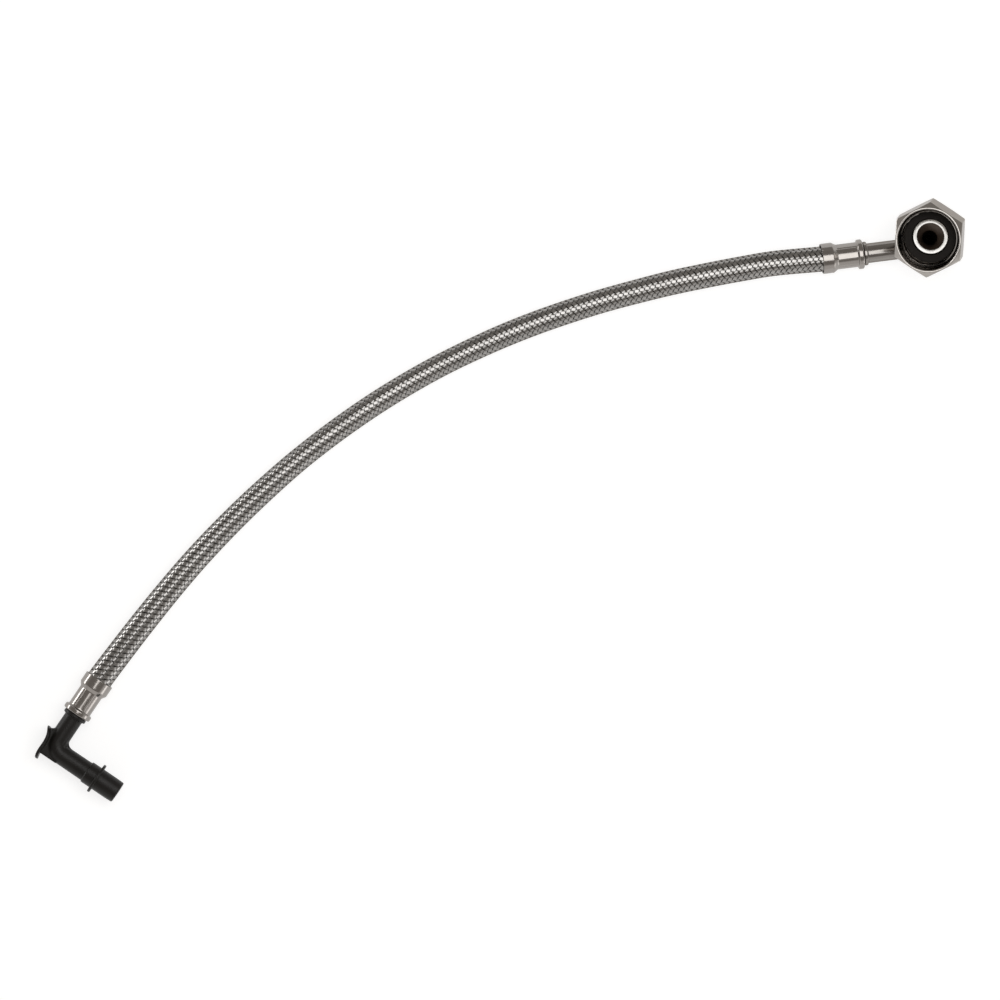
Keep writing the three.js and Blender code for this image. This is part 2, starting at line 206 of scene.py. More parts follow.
@dataclass(frozen=True)
class Finish:
    """A surface that is the same all over but for fine noise and marks."""

    name: str
    color: Triple
    roughness: float
    metallic: float = 0.0
    roughness_spread: float = 0.08
    shade_spread: float = 0.1
    grain: float = 900.0  # noise cells in a metre
    patch: float = 6.0  # size of a patch of shade, in grains
    stretch: Triple = (1.0, 1.0, 1.0)
    relief: float = 0.02  # height of the marks, in millimetres
    edge: Triple = (1.0, 1.0, 1.0)  # tint where the surface is seen edge-on
    gloss: float = 0.5  # level of the plain reflection of what isn't metal

    def material(self, place: Matrix = Matrix.Identity(4)) -> bpy.types.Material:
        """Makes the material for one piece.

        Args:
            place: The piece's own frame, along which its marks are stretched.

        Returns:
            The material.
        """
        material = bpy.data.materials.new(self.name)
        material.use_nodes = True
        graph = Graph(material.node_tree)
        shader = material.node_tree.nodes["Principled BSDF"]
        turn = place.inverted().to_euler()
        local = graph.add(
            "ShaderNodeMapping",
            {"Vector": graph.add("ShaderNodeTexCoord").outputs["Object"], "Rotation": tuple(turn)},
        )
        marks = graph.vector("MULTIPLY", local, self.stretch)
        fine = graph.add("ShaderNodeTexNoise", {
            "Vector": marks, "Scale": self.grain, "Detail": 4.0,
        })
        broad = graph.add("ShaderNodeTexNoise", {
            "Vector": local, "Scale": self.grain / self.patch, "Detail": 3.0,
        })
        self.dress(graph, shader, fine.outputs["Fac"], broad.outputs["Fac"])
        return material

    def dress(
        self,
        graph: Graph,
        shader: bpy.types.Node,
        fine: bpy.types.NodeSocket,
        broad: bpy.types.NodeSocket,
    ) -> None:
        """Feeds the shader with the colour, roughness and relief.

        Args:
            graph: The material's tree.
            shader: Its Principled BSDF.
            fine: Fine noise from 0 to 1.
            broad: Broad noise from 0 to 1.
        """
        shades = (1.0 - self.shade_spread, 1.0 + self.shade_spread / 2)
        shade = graph.ranged(broad, NOISE_SPAN, shades)
        graph.feed(shader.inputs["Base Color"], graph.vector("SCALE", self.color, shade))
        graph.feed(shader.inputs["Metallic"], self.metallic)
        shader.inputs["Specular Tint"].default_value = (*self.edge, 1.0)
        shader.inputs["Specular IOR Level"].default_value = self.gloss
        smoothest = self.roughness - self.roughness_spread / 2
        levels = (smoothest, self.roughness + self.roughness_spread)
        graph.feed(shader.inputs["Roughness"], graph.ranged(fine, NOISE_SPAN, levels))
        height = self.relief * MM
        bump = graph.add("ShaderNodeBump", {"Height": fine, "Strength": 0.5, "Distance": height})
        graph.feed(shader.inputs["Normal"], bump)


@dataclass(frozen=True)
class WireFinish(Finish):
    """Bright wire in flat carriers, with painted shade where a carrier dives under the next and
    between two wires.
    """

    wires: int = 5
    painted_shade_lifts: Pair = (-0.7, 0.75)  # lifts between which the painted shade of a dip fades out
    dip_painted_shade: float = 0.25  # share of the colour that a dip keeps under its painted shade
    groove_painted_shade: float = 0.6  # share that the painted shade leaves in the groove between two wires
    groove_height: float = 0.6  # share of a wire's height where the groove's painted shade ends
    wire_relief: float = 0.05  # height of the wires, in millimetres

    def dress(
        self,
        graph: Graph,
        shader: bpy.types.Node,
        fine: bpy.types.NodeSocket,
        broad: bpy.types.NodeSocket,
    ) -> None:
        """Adds the single wires, and painted shade in the dips and between two wires, to the plain
        finish.

        Args:
            graph: The material's tree.
            shader: Its Principled BSDF.
            fine: Fine noise from 0 to 1.
            broad: Broad noise from 0 to 1.
        """
        super().dress(graph, shader, fine, broad)
        across = graph.add("ShaderNodeAttribute", attribute_name="across").outputs["Fac"]
        lift = graph.add("ShaderNodeAttribute", attribute_name="lift").outputs["Fac"]
        turn = graph.math("MULTIPLY", across, self.wires * math.pi)
        wave = graph.math("ABSOLUTE", graph.math("SINE", turn))
        # Painted shade: the colour is darkened where a carrier dips under the next one and in the
        # grooves between two wires.
        painted_dip_shade = graph.ranged(lift, self.painted_shade_lifts, (self.dip_painted_shade, 1.0))
        groove = graph.ranged(wave, (0.0, self.groove_height), (self.groove_painted_shade, 1.0))
        shade = shader.inputs["Base Color"].links[0].from_socket
        color = graph.vector("SCALE", shade, graph.math("MULTIPLY", painted_dip_shade, groove))
        graph.feed(shader.inputs["Base Color"], color)
        height = self.wire_relief * MM
        bump = graph.add("ShaderNodeBump", {"Height": wave, "Strength": 0.08, "Distance": height})
        graph.feed(shader.inputs["Normal"], bump)


METAL_EDGE = (0.45, 0.42, 0.39)
PLATED_BRASS = Finish(
    "plated_brass", (0.42, 0.40, 0.38), 0.12, metallic=1.0, shade_spread=0.06,
    stretch=(1.0, 1.0, 3.0), relief=0.004, edge=METAL_EDGE,
)
DRAWN_TUBE = Finish(
    "drawn_tube", (0.265, 0.25, 0.236), 0.16, metallic=1.0,
    stretch=(2.0, 0.25, 2.0), relief=0.003, edge=METAL_EDGE,
)
# Painted light: a lighter copy of the drawn tube's metal, so that the boss's faced end shows
# brighter.
FACED_END_PAINTED_LIGHT = Finish(
    "faced_end", (0.40, 0.392, 0.378), 0.16, metallic=1.0, relief=0.004, edge=METAL_EDGE,
)
# Painted shade: the upright bore gets a much darker copy of the metal than the tube outside.
BORE_PAINTED_SHADE = Finish(
    "dark_bore", (0.10, 0.082, 0.07), 0.3, metallic=1.0, relief=0.006, edge=METAL_EDGE,
)
PRESSED_STEEL = Finish(
    "pressed_steel", (0.31, 0.291, 0.275), 0.17, metallic=1.0, roughness_spread=0.03,
    shade_spread=0.05, stretch=(1.0, 1.0, 0.2), relief=0.0006, edge=(0.85, 0.84, 0.83),
)
STEEL_WIRE = WireFinish(
    "steel_wire", (0.375, 0.365, 0.354), 0.18, metallic=1.0, roughness_spread=0.04,
    shade_spread=0.16, grain=1500.0, relief=0.004, edge=METAL_EDGE,
)
SEAL_RUBBER = Finish("seal_rubber", (0.0115, 0.0095, 0.008), 0.6, relief=0.03, gloss=0.12)
HOSE_RUBBER = Finish("hose_rubber", (0.010, 0.010, 0.010), 0.7, relief=0.03, gloss=0.3)
BLACK_PLASTIC = Finish("black_plastic", (0.0085, 0.0075, 0.0065), 0.4, grain=1400.0, gloss=0.25)


# Mesh code


def rounded(corners: Sequence[Triple], steps: int = 4, closed: bool = False) -> np.ndarray:
    """Rounds the corners of a line.

    Args:
        corners: Its corners as (radius, along, rounding).
        steps: Faces of each rounding.
        closed: Whether the line returns to its start.

    Returns:
        The points as (radius, along).
    """
    points = np.array([corner[:2] for corner in corners], float)
    most = 0.49  # share of a side that one rounding may take
    line = []
    for index, here in enumerate(points):
        size = corners[index][2]
        if size == 0 or (not closed and index in (0, len(points) - 1)):
            line.append(here)
            continue
        back, ahead = points[index - 1] - here, points[(index + 1) % len(points)] - here
        lengths = np.linalg.norm(back), np.linalg.norm(ahead)
        back, ahead = back / lengths[0], ahead / lengths[1]
        angle = math.acos(np.clip(back @ ahead, -1.0, 1.0))
        reach = min(size / math.tan(angle / 2), most * lengths[0], most * lengths[1])
        for share in np.linspace(0.0, 1.0, steps + 1):
            line.append(here + (1 - share) ** 2 * reach * back + share ** 2 * reach * ahead)
    return np.array(line)


def turned(
    profile: np.ndarray,
    sides: int = 96,
    shape: Callable[[np.ndarray, np.ndarray, np.ndarray], np.ndarray] | None = None,
) -> np.ndarray:
    """Turns a profile about +Y.

    Args:
        profile: Points as (radius, along).
        sides: Points round the axis.
        shape: Changes the radii, from the radii, the distances along and the angles.

    Returns:
        Rows of points round the axis.
    """
    angle = np.linspace(0.0, 2 * math.pi, sides, endpoint=False)[None, :]
    radius, along = np.broadcast_arrays(profile[:, :1], profile[:, 1:] + 0 * angle)
    if shape is not None:
        radius = shape(radius, along, angle)
    return np.stack([radius * np.cos(angle), along, radius * np.sin(angle)], axis=-1)


def swept(path: np.ndarray, radii: np.ndarray | float, sides: int, lead: Triple) -> np.ndarray:
    """Sweeps a circle along a path.

    Args:
        path: The points of the axis.
        radii: Its radius at each point, or everywhere.
        sides: Points round it.
        lead: A direction that is never along the path.

    Returns:
        Rows of points round the path.
    """
    tangent = np.gradient(path, axis=0)
    tangent /= np.linalg.norm(tangent, axis=1, keepdims=True)
    side = np.asarray(lead) - (tangent @ np.asarray(lead))[:, None] * tangent
    side /= np.linalg.norm(side, axis=1, keepdims=True)
    other = np.cross(tangent, side)
    angle = np.linspace(0.0, 2 * math.pi, sides, endpoint=False)[None, :, None]
    reach = np.broadcast_to(np.asarray(radii, float), len(path))[:, None, None]
    return path[:, None] + reach * (np.cos(angle) * side[:, None] + np.sin(angle) * other[:, None])


class Skin:
    """Collects closed shells in one frame and makes them one piece."""

    def __init__(self, place: Matrix) -> None:
        """Starts empty.

        Args:
            place: The frame of the shells, in millimetres.
        """
        self.place = place
        self.points: list[np.ndarray] = []
        self.faces: list[list[int]] = []
        self.count = 0

    def add(self, rows: np.ndarray, loop: bool = False, place: Matrix | None = None) -> "Skin":
        """Adds a shell of rows that each close round.

        Args:
            rows: The points, row by row.
            loop: Whether the last row meets the first, else both ends get a cap.
            place: The shell's frame within the piece's, if it has its own.

        Returns:
            The skin itself.
        """
        row_count, sides = rows.shape[:2]
        flat = rows.reshape(-1, 3)
        if place is not None:
            flat = flat @ np.array(place.to_3x3()).T + np.array(place.translation)
        number = self.count + np.arange(row_count * sides).reshape(row_count, sides)
        last = row_count if loop else row_count - 1
        low, high = number[:last], np.roll(number, -1, axis=0)[:last]
        corners = [low, np.roll(low, -1, axis=1), np.roll(high, -1, axis=1), high]
        self.faces += np.stack(corners, axis=-1).reshape(-1, 4).tolist()
        if not loop:
            self.faces += [number[0, ::-1].tolist(), number[-1].tolist()]
        self.points.append(flat)
        self.count += row_count * sides
        return self

    def mesh(self, name: str) -> bpy.types.Mesh:
        """Makes the mesh in the row frame, with its poles closed and its faces outwards.

        Args:
            name: The mesh's name.

        Returns:
            The mesh, in metres.
        """
        flat = np.concatenate(self.points)
        turn, shift = np.array(self.place.to_3x3()), np.array(self.place.translation)
        mesh = bpy.data.meshes.new(name)
        mesh.from_pydata(((flat @ turn.T + shift) * MM).tolist(), [], self.faces)
        cleaned = bmesh.new()
        cleaned.from_mesh(mesh)
        bmesh.ops.remove_doubles(cleaned, verts=cleaned.verts, dist=1e-7)
        bmesh.ops.recalc_face_normals(cleaned, faces=cleaned.faces)
        cleaned.to_mesh(mesh)
        cleaned.free()
        return mesh


def shown(name: str, data: bpy.types.ID) -> bpy.types.Object:
    """Puts an object into the scene.

    Args:
        name: The object's name.
        data: Its mesh, curve, lamp or camera.

    Returns:
        The object.
    """
    thing = bpy.data.objects.new(name, data)
    bpy.context.scene.collection.objects.link(thing)
    return thing


def applied(holder: bpy.types.Object, name: str) -> bpy.types.Mesh:
    """Keeps what an object's modifiers make, and removes the object.

    Args:
        holder: The object.
        name: The name of the mesh that is kept.

    Returns:
        The mesh.
    """
    graph = bpy.context.evaluated_depsgraph_get()
    mesh = bpy.data.meshes.new_from_object(holder.evaluated_get(graph), depsgraph=graph)
    mesh.name = name
    bpy.data.objects.remove(holder)
    return mesh


def finished(
    mesh: bpy.types.Mesh,
    body: Body,
    nodes: Sequence[str],
    materials: Sequence[bpy.types.Material] = (),
    sharp: float = 40.0,
) -> bpy.types.Object:
    """Makes a piece of a mesh that is in place.

    Args:
        mesh: The mesh, in metres in the row frame.
        body: The body it rides on.
        nodes: The CAD nodes that it stands for.
        materials: Its materials, if the mesh has none yet.
        sharp: Degrees from which an edge stays sharp.

    Returns:
        The piece.
    """
    mesh.shade_smooth()
    mesh.set_sharp_from_angle(angle=math.radians(sharp))
    for material in materials:
        mesh.materials.append(material)
    piece = shown(mesh.name, mesh)
    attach(piece, body.value)
    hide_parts(*nodes)
    log.info("%s: %d faces", piece.name, len(mesh.polygons))
    return piece


# The studio

VIEW_MIDDLE = (0.5, 0.3, 6.0)


@dataclass(frozen=True)
class Lamp:
    """A soft rectangular lamp, in millimetres and watts."""

    name: str
    place: Triple
    aim: Triple
    size: Pair
    power: float

    def build(self) -> None:
        """Makes the lamp, which faces the point that it aims at."""
        data = bpy.data.lights.new(self.name, "AREA")
        data.shape = "RECTANGLE"
        data.size, data.size_y = self.size[0] * MM, self.size[1] * MM
        data.energy = self.power
        lamp = shown(self.name, data)
        lamp.location = Vector(self.place) * MM
        way = Vector(self.aim) - Vector(self.place)
        lamp.rotation_euler = way.to_track_quat("-Z", "Y").to_euler()


@dataclass
class Studio:
    """The camera straight above, the floor, the room and the lamps."""

    view_width: float = 456.0
    view_distance: float = 3000.0
    floor_size: float = 8000.0
    floor_shade: float = 0.4
    floor_glow: float = 0.74
    room_color: Triple = (0.33, 0.308, 0.285)
    pale_heights: tuple[Pair, ...] = ((0.0, 1.0), (0.45, 1.0), (0.62, 0.0))  # by height
    pale_sides: tuple[Pair, ...] = ((0.0, 0.05), (0.4, 0.1), (0.8, 0.6))  # from far to near
    lamps: tuple[Lamp, ...] = (
        Lamp(
            "lamp_key", place=(170.0, 140.0, 900.0), aim=(170.0, 140.0, 0.0),
            size=(820.0, 660.0), power=4.2,
        ),
        Lamp(
            "lamp_left", place=(-1600.0, 670.0, 125.0), aim=VIEW_MIDDLE,
            size=(1300.0, 240.0), power=7.5,
        ),
        Lamp(
            "lamp_right", place=(1500.0, -1100.0, 260.0), aim=VIEW_MIDDLE,
            size=(1000.0, 500.0), power=2.8,
        ),
    )

    def build(self) -> None:
        """Makes the camera, the floor, the world and the lamps."""
        self.camera()
        self.floor()
        self.world()
        for lamp in self.lamps:
            lamp.build()

    def camera(self) -> None:
        """Makes the camera, which looks straight down."""
        data = bpy.data.cameras.new("camera")
        data.sensor_width = 36.0
        data.lens = data.sensor_width * self.view_distance / self.view_width
        data.clip_end = 50.0
        camera = shown("camera", data)
        camera.location = (Vector(VIEW_MIDDLE) + Vector((0.0, 0.0, self.view_distance))) * MM
        bpy.context.scene.camera = camera
        bpy.context.scene.view_settings.view_transform = "Standard"

    def floor(self) -> None:
        """Makes the white floor, which keeps the object's shadow."""
        mesh = bpy.data.meshes.new("floor")
        half = self.floor_size * MM / 2
        corners = [(-half, -half, 0), (half, -half, 0), (half, half, 0), (-half, half, 0)]
        mesh.from_pydata(corners, [], [(0, 1, 2, 3)])
        material = bpy.data.materials.new("floor")
        material.use_nodes = True
        graph = Graph(material.node_tree)
        material.node_tree.nodes.remove(material.node_tree.nodes["Principled BSDF"])
        shade = (self.floor_shade, self.floor_shade, self.floor_shade, 1.0)
        cloth = graph.add("ShaderNodeBsdfDiffuse", {"Color": shade})
        glow = graph.add("ShaderNodeEmission", {"Strength": self.floor_glow})
        lit = graph.add("ShaderNodeAddShader", {0: cloth, 1: glow})
        mix = graph.add("ShaderNodeMixShader", {0: self.seen(graph), 1: cloth, 2: lit})
        graph.feed(material.node_tree.nodes["Material Output"].inputs["Surface"], mix)
        mesh.materials.append(material)
        shown("floor", mesh)

    def seen(self, graph: Graph) -> bpy.types.NodeSocket:
        """Tells whether the camera sees a surface, directly or in metal or glass.

        Args:
            graph: The tree that asks.

        Returns:
            1 where it does.
        """
        path = graph.add("ShaderNodeLightPath").outputs
        either = graph.math("MAXIMUM", path["Is Camera Ray"], path["Is Glossy Ray"])
        return graph.math("MAXIMUM", either, path["Is Transmission Ray"])

    def world(self) -> None:
        """Makes the world: a grey room, paler low down and most of all on the near side."""
        world = bpy.data.worlds.new("studio")
        world.use_nodes = True
        bpy.context.scene.world = world
        graph = Graph(world.node_tree)
        direction = graph.add("ShaderNodeTexCoord").outputs["Generated"]
        way = graph.add("ShaderNodeSeparateXYZ", {0: direction}).outputs
        low = graph.ramp(way["Z"], self.pale_heights)
        near = graph.ramp(graph.math("MULTIPLY_ADD", way["Y"], -0.5, 0.5), self.pale_sides)
        shade = graph.vector("ADD", graph.vector("MULTIPLY", low, near), self.room_color)
        path = graph.add("ShaderNodeLightPath").outputs["Is Camera Ray"]
        white = (1.0, 1.0, 1.0, 1.0)
        color = graph.add("ShaderNodeMix", {0: path, 6: shade, 7: white}, data_type="RGBA")
        background = world.node_tree.nodes["Background"]
        graph.feed(background.inputs["Color"], color.outputs[2])
        background.inputs["Strength"].default_value = 1.0


# The places of the fittings


def mouth_frame(mouth: Pair, height: float, heading: float, pitch: float, roll: float) -> Matrix:
    """Makes the frame at a ferrule's mouth.

    Args:
        mouth: Its place on the bench.
        height: Its height.
        heading: Degrees from +X of the way out of the hose.
        pitch: Degrees that this way dips.
        roll: Degrees that the fitting leans sideways.

    Returns:
        The frame, with +Y out of the hose and +Z up.
    """
    return (
        Matrix.Translation((*mouth, height))
        @ Matrix.Rotation(math.radians(heading - 90), 4, "Z")
        @ Matrix.Rotation(math.radians(-pitch), 4, "X")
        @ Matrix.Rotation(math.radians(-roll), 4, "Y")
    )


@dataclass
class Places:
    """Where the two ends of the free hose lie, and the route between them."""

    plug_mouth: Pair = (-182.0, -81.5)
    plug_height: float = 7.25
    plug_heading: float = 235.9
    nut_mouth: Pair = (147.0, 110.1)
    nut_height: float = 8.206
    nut_heading: float = 7.3
    tail_pitch: float = 4.5
    tail_roll: float = 8.4
    end_depth: float = 15.8
    steps_per_knot: int = 24
    points: tuple[Triple, ...] = (
        (-170.0, -65.6, 7.1), (-160.1, -52.9, 6.8), (-150.0, -40.4, 6.4), (-139.6, -28.2, 6.1),
        (-128.7, -16.4, 5.8), (-117.4, -5.0, 5.66), (-105.7, 6.0, 5.62), (-93.7, 16.6, 5.62),
        (-81.1, 26.7, 5.62), (-68.2, 36.2, 5.62), (-54.9, 45.2, 5.62), (-41.2, 53.6, 5.62),
        (-27.2, 61.4, 5.62), (-12.8, 68.5, 5.62), (1.9, 75.1, 5.65), (16.8, 81.0, 5.8),
        (32.0, 86.3, 6.15), (47.3, 91.1, 6.7), (62.8, 95.3, 7.4), (78.4, 99.2, 8.2),
        (94.1, 102.5, 8.9), (109.9, 105.5, 9.3), (125.7, 108.1, 9.25),
    )

    def plug_end(self) -> Matrix:
        """Gives the frame at the mouth of the plug's ferrule."""
        return mouth_frame(self.plug_mouth, self.plug_height, self.plug_heading, 0.0, 0.0)

    def nut_end(self) -> Matrix:
        """Gives the frame at the mouth of the nut's ferrule."""
        lean = (self.tail_pitch, self.tail_roll)
        return mouth_frame(self.nut_mouth, self.nut_height, self.nut_heading, *lean)

    def knots(self) -> np.ndarray:
        """Adds the ends to the route's points.

        Returns:
            The points, with three inside each ferrule.
        """
        depths = [Vector((0.0, share * self.end_depth, 0.0)) for share in (1.0, 0.5, 0.0)]
        plug = [self.plug_end() @ depth for depth in depths]
        nut = [self.nut_end() @ depth for depth in reversed(depths)]
        return np.array([*plug, *self.points, *nut])

    def line(self, steps: int) -> np.ndarray:
        """Runs a smooth curve through the knots.

        Args:
            steps: Steps along the whole route.

        Returns:
            Evenly spaced points, in millimetres.
        """
        knots = self.knots()
        knots = np.vstack([2 * knots[0] - knots[1], knots, 2 * knots[-1] - knots[-2]])
        dense = [knots[1]]
        for index in range(1, len(knots) - 2):
            before, start, end, after = knots[index - 1:index + 3]
            for share in np.linspace(0.0, 1.0, self.steps_per_knot + 1)[1:]:
                dense.append(0.5 * (
                    2 * start + (end - before) * share
                    + (2 * before - 5 * start + 4 * end - after) * share ** 2
                    + (3 * start - before - 3 * end + after) * share ** 3
                ))
        dense = np.array(dense)
        run = np.concatenate([[0.0], np.cumsum(np.linalg.norm(np.diff(dense, axis=0), axis=1))])
        even = np.linspace(0.0, run[-1], steps + 1)
        return np.stack([np.interp(even, run, dense[:, axis]) for axis in range(3)], axis=1)


# The hose


@dataclass
class BraidedHose:
    """The rubber hose and its sleeve of woven wire."""

    places: Places
    carriers: int = 16
    lay_length: float = 20.0
    carrier_width: float = 1.62
    wires: int = 5
    wire_diameter: float = 0.28
    wire_relief: float = 0.04  # height of the ridges of wire, in wire diameters
    weave_lift: float = 0.11
    float_flatness: float = 0.5  # how flat a carrier lies between two crossings
    looseness: float = 0.02  # how far a carrier wanders, in turns
    wander_rate: float = 1.7  # changes of its way in a turn
    wander_gap: float = 7.3  # distance in the noise from one carrier to the next
    steps_per_repeat: int = 8
    rubber_wall: float = 2.2
    rubber_sides: int = 40
    diameter: float = 11.2
    route_steps: int = 420
    radii: tuple[Pair, ...] = (
        (-5.5, 4.95), (-3.5, 5.95), (0.0, 6.02), (55.0, 5.77), (109.0, 5.52), (137.0, 5.32),
        (219.0, 5.31), (246.0, 5.46), (301.0, 5.54), (328.0, 5.72), (396.0, 5.84), (399.5, 5.84),
        (401.5, 4.95),
    )

    def __post_init__(self) -> None:
        """Runs the route."""
        self.line = self.places.line(self.route_steps)
        steps = np.linalg.norm(np.diff(self.line, axis=0), axis=1)
        self.run = np.concatenate([[0.0], np.cumsum(steps)])
        self.length = float(self.run[-1])

    def radius(self, run: np.ndarray) -> np.ndarray:
        """Gives the braid's outer radius along the route.

        Args:
            run: Distances from the route's start.

        Returns:
            The radii.
        """
        known = np.array(self.radii)
        return np.interp(run - self.places.end_depth, known[:, 0], known[:, 1])

    def build(self) -> None:
        rubber = self.rubber_hose()
        sleeves = self.braid()
        middle = self.length - 2 * self.places.end_depth
        mouth = self.places.nut_end() @ Vector((0.0, 0.0, 0.0))
        log.info("free length %.1f mm, cut length %.1f mm", middle, self.length)

    def rubber_hose(self) -> bpy.types.Object:
        """Makes the rubber hose under the braid.

        Returns:
            The piece.
        """
        outer = self.radius(self.run) - 2 * self.weave_lift - self.wire_diameter
        outside, inside = (
            swept(self.line, radii, self.rubber_sides, (0.0, 0.0, 1.0))
            for radii in (outer, outer - self.rubber_wall)
        )
        skin = Skin(Matrix.Identity(4)).add(np.concatenate([outside, inside[::-1]]), loop=True)
        mesh, material = skin.mesh("rubber_hose"), HOSE_RUBBER.material()
        return finished(mesh, Body.HOSE, ["inner_hose"], [material])

    def braid(self) -> list[bpy.types.Object]:
        """Makes the carriers in four pieces.

        Returns:
            The pieces.
        """
        route = self.route()
        tree = self.braid_tree()
        material = STEEL_WIRE.material()
        per_hand, per_piece = self.carriers // 2, self.carriers // 4
        repeats = self.length / self.lay_length * per_hand
        pieces = []
        for hand in Hand:
            for group, first in (("a", 0), ("b", per_piece)):
                name = f"braid_{hand.name.lower()}_{group}"
                mesh = self.evaluated(name, tree, {
                    "Route": route, "Hand": float(hand.value), "First Carrier": first,
                    "Amount": per_piece, "Per Hand": per_hand,
                    "Steps": round(repeats * self.steps_per_repeat),
                    "Length": self.length * MM, "Lay Length": self.lay_length * MM,
                    "Width": self.carrier_width * MM, "Wires": self.wires,
                    "Wire Diameter": self.wire_diameter * MM, "Lift": self.weave_lift * MM,
                    "Material": material,
                })
                pieces.append(finished(mesh, Body.HOSE, ["wire_braid"], sharp=80.0))
        bpy.data.objects.remove(route)
        return pieces

    def route(self) -> bpy.types.Object:
        """Makes a curve of the route whose radii are those of the braid's middle surface.

        Returns:
            The curve's object.
        """
        data = bpy.data.curves.new("route", "CURVE")
        data.dimensions = "3D"
        spline = data.splines.new("POLY")
        spline.points.add(len(self.line) - 1)
        middle = self.radius(self.run) - self.weave_lift - self.wire_diameter / 2
        places = np.column_stack([self.line * MM, np.ones(len(self.line))])
        spline.points.foreach_set("co", places.ravel())
        spline.points.foreach_set("radius", middle * MM)
        return shown("route", data)

    def evaluated(
        self, name: str, tree: bpy.types.NodeTree, inputs: dict[str, object],
    ) -> bpy.types.Mesh:
        """Runs the tree once and keeps its mesh.

        Args:
            name: The mesh's name.
            tree: The geometry nodes.
            inputs: The modifier's inputs by name.

        Returns:
            The mesh.
        """
        holder = shown(name, bpy.data.meshes.new("holder"))
        modifier = holder.modifiers.new("braid", "NODES")
        modifier.node_group = tree
        for item in tree.interface.items_tree:
            if item.in_out == "INPUT":
                modifier[item.identifier] = inputs[item.name]
        return applied(holder, name)

    def braid_tree(self) -> bpy.types.NodeTree:
        """Builds the tree that winds some carriers of one hand round the route.

        Returns:
            The tree.
        """
        tree = bpy.data.node_groups.new("braid", "GeometryNodeTree")
        tree.interface.new_socket("Geometry", in_out="OUTPUT", socket_type="NodeSocketGeometry")
        kinds = {
            "Route": "Object", "Hand": "Float", "First Carrier": "Int", "Amount": "Int",
            "Per Hand": "Int", "Steps": "Int", "Length": "Float", "Lay Length": "Float",
            "Width": "Float", "Wires": "Int", "Wire Diameter": "Float", "Lift": "Float",
            "Material": "Material",
        }
        for name, kind in kinds.items():
            tree.interface.new_socket(name, in_out="INPUT", socket_type=f"NodeSocket{kind}")
        graph = Graph(tree)
        given = graph.add("NodeGroupInput").outputs
        carrier = self.carrier_line(graph, given)
        section = self.carrier_section(graph, given)
        ribbon = graph.add("GeometryNodeCurveToMesh", {
            "Curve": carrier, "Profile Curve": section, "Fill Caps": True,
        })
        real = graph.add("GeometryNodeRealizeInstances", {0: ribbon})
        painted = graph.add("GeometryNodeSetMaterial", {
            "Geometry": real, "Material": given["Material"],
        })
        graph.add("NodeGroupOutput", {0: painted})
        return tree

    def carrier_line(self, graph: Graph, given: bpy.types.NodeOutputs) -> bpy.types.Node:
        """Adds the nodes of the carriers' middle lines.

        Args:
            graph: The tree.
            given: The tree's inputs.

        Returns:
            The node with the lines, whose normals point out from the hose.
        """
        count = graph.math("ADD", given["Steps"], 1.0)
        straight = graph.add("GeometryNodeResampleCurve", {
            "Curve": graph.add("GeometryNodeCurvePrimitiveLine"), "Count": count,
        })
        copies = graph.add("GeometryNodeDuplicateElements", {
            "Geometry": straight, "Amount": given["Amount"],
        }, domain="SPLINE")
        number = graph.math("ADD", copies.outputs["Duplicate Index"], given["First Carrier"])
        share = graph.add("GeometryNodeSplineParameter").outputs["Factor"]
        run = graph.math("MULTIPLY", share, given["Length"])
        turns = graph.math("DIVIDE", run, given["Lay Length"])
        seed = graph.add("ShaderNodeCombineXYZ", {
            0: graph.math("MULTIPLY", turns, self.wander_rate),
            1: graph.math("MULTIPLY", number, self.wander_gap), 2: given["Hand"],
        })
        wander = graph.add("ShaderNodeTexNoise", {
            "Vector": seed, "Scale": 1.0, "Detail": 1.0,
        }).outputs["Fac"]
        start = graph.math("DIVIDE", number, given["Per Hand"])
        loose = graph.math("MULTIPLY", graph.math("SUBTRACT", wander, 0.5), self.looseness)
        wound = graph.math("ADD", graph.math("MULTIPLY", turns, given["Hand"]), start)
        angle = graph.math("MULTIPLY", graph.math("ADD", wound, loose), 2 * math.pi)
        around = graph.math("MULTIPLY", given["Per Hand"], 2 * math.pi)
        crossings = graph.math("MULTIPLY", turns, around)
        wave = graph.math("MULTIPLY", graph.math("COSINE", crossings), given["Hand"])
        square = graph.math("MULTIPLY", wave, wave)
        fall = graph.math("MULTIPLY_ADD", square, -self.float_flatness, 1.0 + self.float_flatness)
        lift = graph.math("MULTIPLY", wave, fall)
        route = graph.add("GeometryNodeObjectInfo", {"Object": given["Route"]}).outputs["Geometry"]
        place = graph.add("GeometryNodeSampleCurve", {
            "Curves": route, "Value": graph.add("GeometryNodeInputRadius"), "Factor": share,
        }, mode="FACTOR").outputs
        level = graph.vector("CROSS_PRODUCT", place["Tangent"], (0.0, 0.0, 1.0))
        side = graph.vector("NORMALIZE", level)
        up = graph.vector("CROSS_PRODUCT", side, place["Tangent"])
        out = graph.vector(
            "ADD", graph.vector("SCALE", side, graph.math("COSINE", angle)),
            graph.vector("SCALE", up, graph.math("SINE", angle)),
        )
        radius = graph.math("ADD", place["Value"], graph.math("MULTIPLY", lift, given["Lift"]))
        point = graph.vector("ADD", place["Position"], graph.vector("SCALE", out, radius))
        lifted = graph.stored(copies.outputs["Geometry"], "lift", lift)
        outward = graph.stored(lifted, "outward", out, "FLOAT_VECTOR")
        moved = graph.add("GeometryNodeSetPosition", {"Geometry": outward, "Position": point})
        normal = graph.add(
            "GeometryNodeInputNamedAttribute", {"Name": "outward"}, data_type="FLOAT_VECTOR",
        )
        return graph.add(
            "GeometryNodeSetCurveNormal", {"Curve": moved, "Normal": normal}, mode="FREE",
        )

